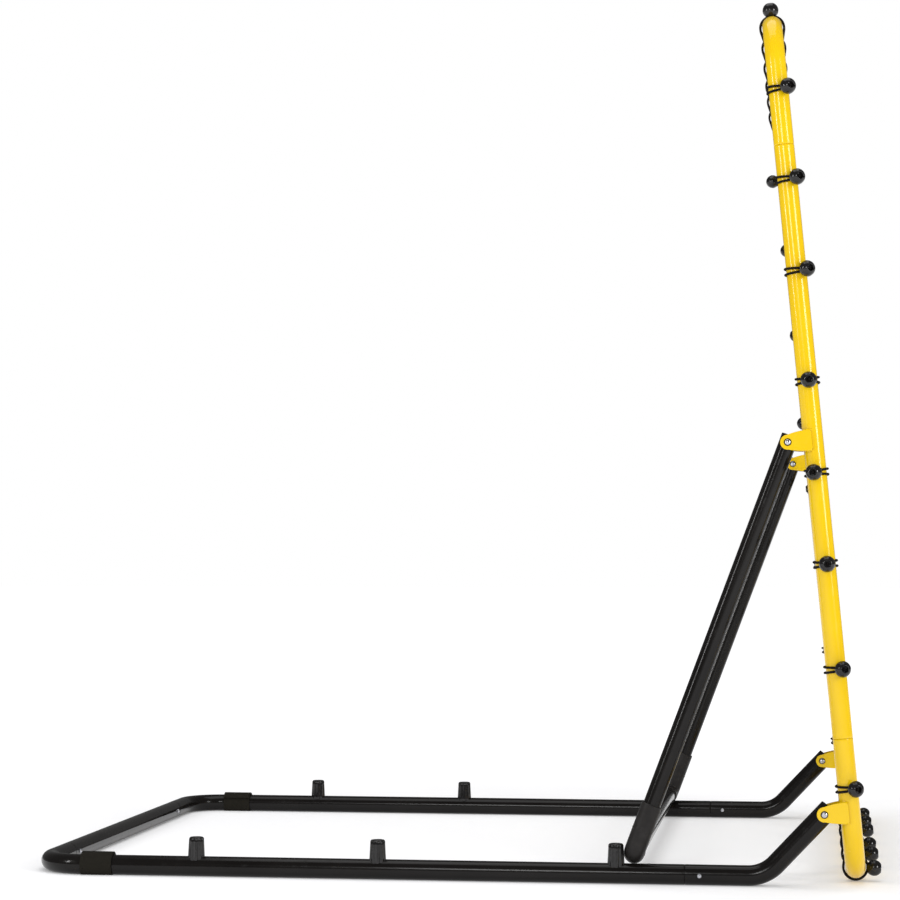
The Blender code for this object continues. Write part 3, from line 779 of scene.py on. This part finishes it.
def build_ball(work, centre, way):
    """A ball with a parting line, a dished hole for the cord's knot on its far side and a small one near."""
    lip = math.degrees(math.acos(BALL_HOLE_R / BALL_R))
    neck = math.degrees(math.acos(BALL_NECK_R / BALL_R))
    profile = [(0.0, -BALL_R * 0.78), (0.0030, -BALL_R * 0.82)]
    profile += arc(BALL_R, -neck, -2.2, 18)
    profile += [(BALL_R + PARTING_LINE, -0.0003), (BALL_R + PARTING_LINE, 0.0003)]
    profile += arc(BALL_R, 2.2, lip, 16)
    edge, rim = profile[-1]
    profile += [(edge - 0.0003, rim + 0.00005), (edge - 0.0008, rim - 0.0003), (edge - 0.0014, rim - 0.0011)]
    profile += [(0.0046, rim - 0.0042), (0.0044, rim - 0.0062), (0, rim - 0.0062)]
    lathe(work, profile, centre, way, 40)


def build_cord(node):
    """A ball, and its doubled cord: two closed strands round the tube and the hem, drawn into the ball."""
    place, outward, along, way = cord_facts(node)
    front = along.cross(outward).normalized()
    centre = place + way * BALL_REACH
    slack = TIGHT_CORD if along == UP else LOOSE_CORD
    balls = bmesh.new()
    build_ball(balls, centre, way)
    add_piece(f"{node}_ball", balls, GLOSS_PLASTIC, "net_frame", [node])
    anchor_x = way.dot(outward) * BALL_REACH * ANCHOR
    anchor_y = way.dot(front) * BALL_REACH * ANCHOR
    round_tube = circle(0, 0, TUBE_R + CORD_R + slack, 40)
    round_hem = circle(-HEM_IN, 0, HEM_R + CORD_R + TIGHT_CORD, 24)
    in_ball = circle(anchor_x, anchor_y, ANCHOR_R, 12)
    loop = subdivided(hull(round_tube + round_hem + in_ball))
    work = bmesh.new()
    for strand in (-1, 1):
        path = []
        for x, y in loop:
            near_ball = max(0.0, 1 - math.hypot(x - anchor_x, y - anchor_y) / PINCH_REACH)
            near_hem = max(0.0, 1 - abs(x + HEM_IN) / PINCH_REACH)
            spread = STRAND_OFFSET - PINCH_AT_BALL * near_ball - PINCH_AT_HEM * near_hem
            path.append(place + outward * x + front * y + along * strand * spread)
        sweep(work, path, CORD_R * 0.98, 10, closed=True)  # just inside the CAD's cord
    knot_place = centre + way * (BALL_R * 0.42)
    lathe(work, arc(KNOT_IN_BALL_R, -80, 90, 8), knot_place, way, 16)
    add_piece(f"{node}_bungee", work, BUNGEE, "net_frame")


# ---- net ----


CORDS = {
    edge: sorted(name for name in frame["nodes"] if name.startswith(f"ball_cord_{edge}_"))
    for edge in ("right", "left", "upper", "lower")
}
NET_HALF = HALF - HEM_IN
NET_LOW = LOW_AXIS + HEM_IN
NET_TOP = TOP_AXIS - HEM_IN


def pulled_at(edge):
    """Where the cords pull on one edge of the net, with the net's own corners."""
    if edge in ("right", "left"):
        ups = sorted(sum(span(node, UP, FRONT_PIVOT)) / 2 for node in CORDS[edge])
        return [NET_LOW, *ups, NET_TOP]
    return [-NET_HALF, *sorted(middle(node).y for node in CORDS[edge]), NET_HALF]


PULLS = {edge: pulled_at(edge) for edge in CORDS}


def bow(edge, along):
    """How far an edge bows in at a place along it: nothing at each cord, and most between two."""
    for low, high in zip(PULLS[edge], PULLS[edge][1:]):
        if low <= along <= high:
            share = math.sin(math.pi * (along - low) / (high - low)) ** 2
            return SCALLOP * (high - low) / SCALLOP_SPAN * share
    return 0.0


def build_hem():
    """The rope round the net, in one closed loop."""
    corners = [
        Vector((0, NET_LOW, 0)),
        Vector((NET_HALF, NET_LOW, 0)),
        Vector((NET_HALF, NET_TOP, 0)),
        Vector((-NET_HALF, NET_TOP, 0)),
        Vector((-NET_HALF, NET_LOW, 0)),
        Vector((0, NET_LOW, 0)),
    ]
    rough = bent_path(corners, HEM_BEND_R, 8)[1:]
    path = []
    for one, other in zip(rough, rough[1:] + rough[:1]):
        pieces = max(1, round((other - one).length / HEM_STEP))
        path += [one.lerp(other, i / pieces) for i in range(pieces)]
    for point in path:
        if abs(point.x) > NET_HALF - 0.0001:
            point.x -= math.copysign(bow("left" if point.x > 0 else "right", point.y), point.x)
        elif point.y > NET_TOP - 0.0001:
            point.y -= bow("upper", point.x)
        elif point.y < NET_LOW + 0.0001:
            point.y += bow("lower", point.x)
    work = bmesh.new()
    sweep(work, [on_frame(point.x, point.y, POST_AHEAD) for point in path], HEM_R, 14, closed=True)
    return add_piece("net_hem", work, HEM_ROPE, "net_frame", ["net"], 60)


def net_lines(low, high):
    """Evenly spaced places of the net's cords between two edges."""
    count = round((high - low) / NET_PITCH)
    return [low + (high - low) * i / count for i in range(1, count)]


def build_net():
    """Knotted netting: square meshes, with a knot at each crossing. The cords end inside the hem."""
    ys, ups = net_lines(-NET_HALF, NET_HALF), net_lines(NET_LOW, NET_TOP)
    work = bmesh.new()

    def strand(start, end, crossings, place):
        stations = [(start, NET_CORD_R)]
        for at in crossings:
            stations += [(at - KNOT_HALF, NET_CORD_R), (at, KNOT_R), (at + KNOT_HALF, NET_CORD_R)]
        stations.append((end, NET_CORD_R))
        slips = [NET_SLACK * math.sin(37.0 * at + 5.0 * start) for at, _ in stations[1:-1]]
        path = [place(at, slip) for (at, _), slip in zip(stations, [0.0, *slips, 0.0])]
        sweep(work, path, [radius for _, radius in stations], 6)

    for y in ys:
        low, high = NET_LOW + bow("lower", y), NET_TOP - bow("upper", y)
        strand(low, high, ups, lambda up, slip, y=y: on_frame(y + slip, up, POST_AHEAD))
    for up in ups:
        low, high = -NET_HALF + bow("right", up), NET_HALF - bow("left", up)
        strand(low, high, ys, lambda y, slip, up=up: on_frame(y, up + slip, POST_AHEAD))
    net = add_piece("net_mesh", work, NET_CORD, "net_frame", (), 70)
    hem = build_hem()


# ---- prop ----


def build_prop():
    inside = ELBOW_BEND_R + 0.004  # where the leg ends within its elbow
    for side, sign in SIDES_OF:
        across = ACROSS * sign * HALF
        ends = [FOOT + LEG_UP * inside + across, PROP_PIVOT + LEG_UP * END_PAST_PIVOT + across]
        add_black_tube(f"prop_leg_paint_{side}", ends, PROP_R, "prop", f"prop_leg_{side}", open_end=True)
        build_elbow(side, sign)
    low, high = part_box("prop_crossbar")
    ends = [Vector((FOOT.x, low.y, FOOT.z)), Vector((FOOT.x, high.y, FOOT.z))]
    add_black_tube("prop_crossbar_paint", ends, PROP_R, "prop", "prop_crossbar")


def build_elbow(side, sign):
    """A moulded elbow with a rounded mouth at each end and a parting ridge above its bend."""
    corner = FOOT + ACROSS * sign * HALF
    start = corner + LEG_UP * ELBOW_UP
    end = corner - ACROSS * sign * ELBOW_ACROSS
    arm = bent_path([start, corner, end], ELBOW_BEND_R, 14)
    rim = [(0.0, PROP_R + 0.0002), (0.0, ELBOW_R - 0.0008), (0.0008, ELBOW_R), (0.003, ELBOW_R)]
    ridge = [(0.0, ELBOW_R), (0.002, ELBOW_R), (0.003, ELBOW_R + RIDGE_HEIGHT)]
    ridge += [(0.004, ELBOW_R + RIDGE_HEIGHT), (0.005, ELBOW_R), (0.007, ELBOW_R)]
    leg = rim + [(RIDGE_AT + at, radius) for at, radius in ridge]
    points = [start - LEG_UP * at for at, _ in leg]
    points += arm[1:-1]
    points += [end + ACROSS * sign * at for at, _ in reversed(rim)]
    radii = [radius for _, radius in leg]
    radii += [ELBOW_R] * len(arm[1:-1])
    radii += [radius for _, radius in reversed(rim)]
    work = bmesh.new()
    sweep(work, points, radii)
    name = f"prop_elbow_moulded_{side}"
    add_piece(name, work, ELBOW_PLASTIC, "prop", [f"prop_elbow_{side}"])


# ---- studio ----


def build_floor():
    """A pale floor that glows a little, and more further off, so that no edge shows at the backdrop."""
    bpy.ops.mesh.primitive_plane_add(size=60, location=(0, 0, 0))
    floor = bpy.context.object
    floor.name = "floor"
    look = Look("floor", (0.93, 0.93, 0.94), 0.9, Specular_IOR_Level=0.0)
    look.tint(look.ranged(look.noise(0.8, 2.0), 0.4, 0.6, 0.0, 1.0), (0.925, 0.925, 0.94))
    look.shader.inputs["Emission Color"].default_value = (1, 1, 1, 1)
    spread = look.nodes.new("ShaderNodeVectorMath")
    spread.operation = "LENGTH"
    look.links.new(look.place.outputs["Object"], spread.inputs[0])
    glow = look.ranged(spread.outputs["Value"], NEAR_FLOOR, FAR_FLOOR, FLOOR_GLOW, FAR_FLOOR_GLOW)
    look.links.new(glow, look.shader.inputs["Emission Strength"])
    floor.data.materials.append(look.material)


def add_light(name, place, aim, width, tall, power):
    """A soft box at a place, with its back turned the way that aim points."""
    light = bpy.data.lights.new(name, "AREA")
    light.shape = "RECTANGLE"
    light.size = width
    light.size_y = tall
    light.energy = power
    box = bpy.data.objects.new(name, light)
    box.location = place
    box.rotation_mode = "QUATERNION"
    box.rotation_quaternion = aim.to_track_quat("Z", "Y")
    bpy.context.scene.collection.objects.link(box)


def build_lights():
    """Boxes that face the near post, each at an azimuth to the camera's right of it, and one overhead."""
    for name, (azimuth, distance, height, width, tall, power) in SIDE_BOXES.items():
        turn = math.radians(azimuth)
        away = Vector((math.sin(turn), -math.cos(turn), 0)) * distance
        target = Vector((FRONT_PIVOT.x, -HALF, height))
        add_light(name, target + away, away, width, tall, power)
    height, width, power = TOP_BOX
    add_light("top_box", VERTICAL * height, VERTICAL, width, width, power)


def build_studio():
    """A white backdrop round a dim studio, so that gloss black stays black between the soft boxes."""
    scene = bpy.context.scene
    scene.view_settings.view_transform = "Standard"
    world = bpy.data.worlds.new("studio")
    scene.world = world
    world.use_nodes = True
    nodes, links = world.node_tree.nodes, world.node_tree.links
    backdrop = nodes["Background"]
    backdrop.inputs["Color"].default_value = (1, 1, 1, 1)
    backdrop.inputs["Strength"].default_value = BACKDROP
    surround = nodes.new("ShaderNodeBackground")
    surround.inputs["Color"].default_value = (1, 1, 1, 1)
    seen = nodes.new("ShaderNodeLightPath")
    dimmed = nodes.new("ShaderNodeMapRange")
    dimmed.inputs["To Min"].default_value = SURROUND
    dimmed.inputs["To Max"].default_value = GLOSS_SURROUND
    links.new(seen.outputs["Is Glossy Ray"], dimmed.inputs["Value"])
    links.new(dimmed.outputs[0], surround.inputs["Strength"])
    mix = nodes.new("ShaderNodeMixShader")
    links.new(seen.outputs["Is Camera Ray"], mix.inputs["Fac"])
    links.new(surround.outputs[0], mix.inputs[1])
    links.new(backdrop.outputs[0], mix.inputs[2])
    links.new(mix.outputs[0], nodes["World Output"].inputs["Surface"])


def build_camera():
    data = bpy.data.cameras.new("camera")
    data.lens = LENS
    data.shift_x = SHIFT
    data.clip_start = 0.05
    data.clip_end = 200
    camera = bpy.data.objects.new("camera", data)
    camera.location = CAMERA_PLACE
    level = Vector((math.sin(CAMERA_YAW), math.cos(CAMERA_YAW), 0))
    ahead = level * math.cos(CAMERA_PITCH) + VERTICAL * math.sin(CAMERA_PITCH)
    camera.rotation_mode = "QUATERNION"
    camera.rotation_quaternion = ahead.to_track_quat("-Z", "Y")
    bpy.context.scene.collection.objects.link(camera)
    bpy.context.scene.camera = camera


build_camera()
build_studio()
build_lights()
build_floor()
build_base()
build_frame()
for cord_nodes in CORDS.values():
    for cord_node in cord_nodes:
        build_cord(cord_node)
build_net()
build_prop()
